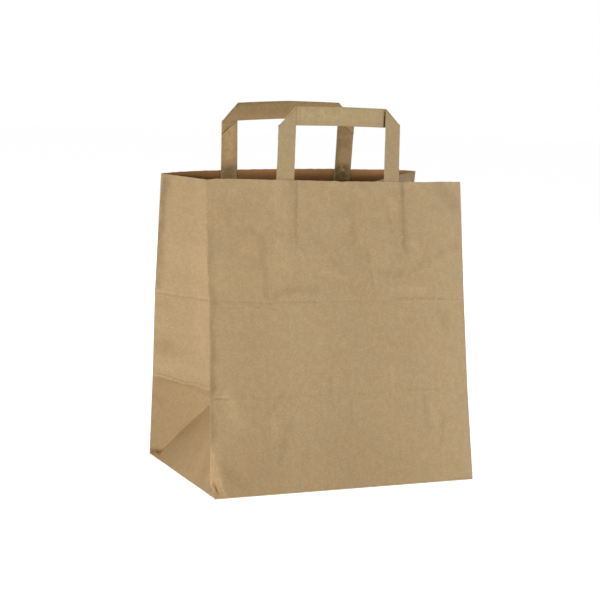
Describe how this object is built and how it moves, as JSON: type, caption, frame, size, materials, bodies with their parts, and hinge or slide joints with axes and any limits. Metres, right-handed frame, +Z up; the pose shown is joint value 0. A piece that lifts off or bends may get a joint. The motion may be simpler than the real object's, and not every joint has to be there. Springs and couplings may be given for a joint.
{
  "type": "paper carrier bag",
  "caption": "Open block-bottom carrier bag of brown kraft paper, with side gussets folded inwards and flat folded paper handles glued inside the mouth.",
  "frame": {"origin": "centre of the base, on the surface that the bag stands on", "axes": "+Z up to the mouth, +X along the wide walls, front wall at -Y and back wall at +Y"},
  "size_m": [0.2609, 0.1701, 0.3437],
  "materials": {
    "body_kraft": "machine-glazed brown kraft paper, faintly ribbed and flecked, with soft creases",
    "handle_kraft": "flat folded strip of brown kraft paper",
    "patch_kraft": "glued patch of brown kraft paper"
  },
  "bodies": {
    "root": {"bag_body": "body_kraft", "front_handle": "handle_kraft", "back_handle": "handle_kraft", "front_handle_patch": "patch_kraft", "back_handle_patch": "patch_kraft"}
  },
  "joints": []
}
